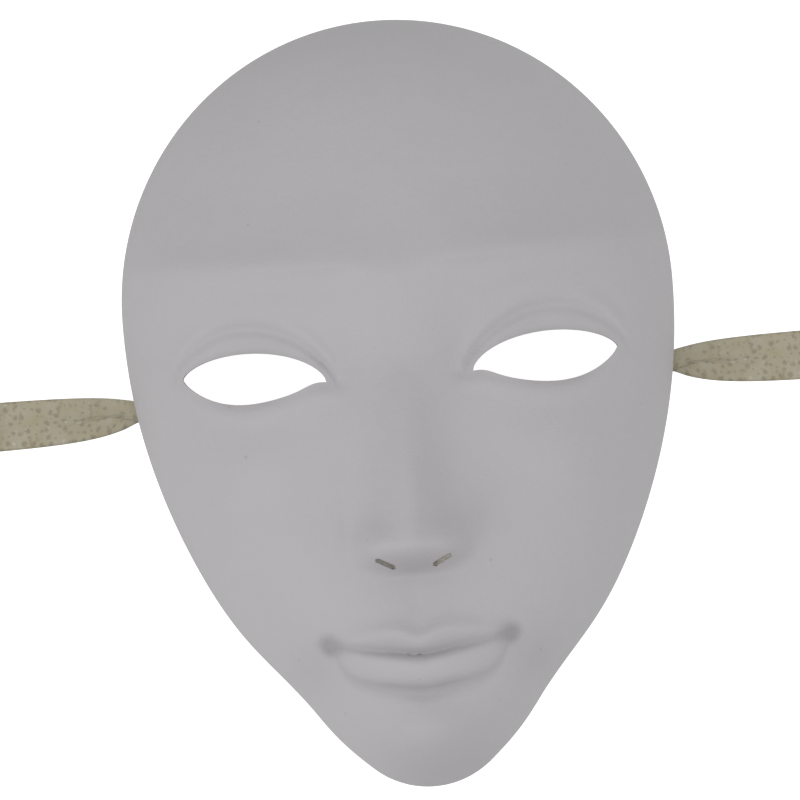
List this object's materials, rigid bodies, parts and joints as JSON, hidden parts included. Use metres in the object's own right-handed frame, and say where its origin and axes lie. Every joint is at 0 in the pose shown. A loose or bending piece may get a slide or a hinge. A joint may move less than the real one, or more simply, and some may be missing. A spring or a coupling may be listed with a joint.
{
  "type": "full-face costume mask",
  "caption": "Blank full-face costume mask of moulded paper pulp with almond eye openings, nostril slits and a tie ribbon glued inside each side, lying face up.",
  "frame": {"origin": "on the table, under the middle of the mask's outline, ribbons left out", "axes": "+Z out of the face, +Y towards the forehead, +X to the right as seen from in front of the face"},
  "size_m": [0.3734, 0.23, 0.0813],
  "materials": {
    "paper_shell": "matte, gesso coated",
    "ribbon": "woven, dotted, slight sheen",
    "thread": "twisted cotton",
    "hot_glue": "milky, soft sheen"
  },
  "bodies": {
    "mask": {"mask_shell": "paper_shell", "ribbon_tab_left": "ribbon", "ribbon_tab_right": "ribbon", "glue_left": "hot_glue", "glue_right": "hot_glue"},
    "ribbon_left": {"ribbon_left": "ribbon", "folded_end_left": "ribbon", "fold_tie_left": "thread"},
    "ribbon_right": {"ribbon_right": "ribbon", "folded_end_right": "ribbon", "fold_tie_right": "thread"}
  },
  "joints": [
    {"name": "left_ribbon_swing", "type": "hinge", "parent": "mask", "child": "ribbon_left", "pos_m": [-0.08275, 0.00483, 0.0011], "axis": [0.1457, -0.9893, 0], "range_deg": [-70, 100]},
    {"name": "right_ribbon_swing", "type": "hinge", "parent": "mask", "child": "ribbon_right", "pos_m": [0.08275, 0.00483, 0.0011], "axis": [0.1457, 0.9893, 0], "range_deg": [-70, 100]}
  ]
}
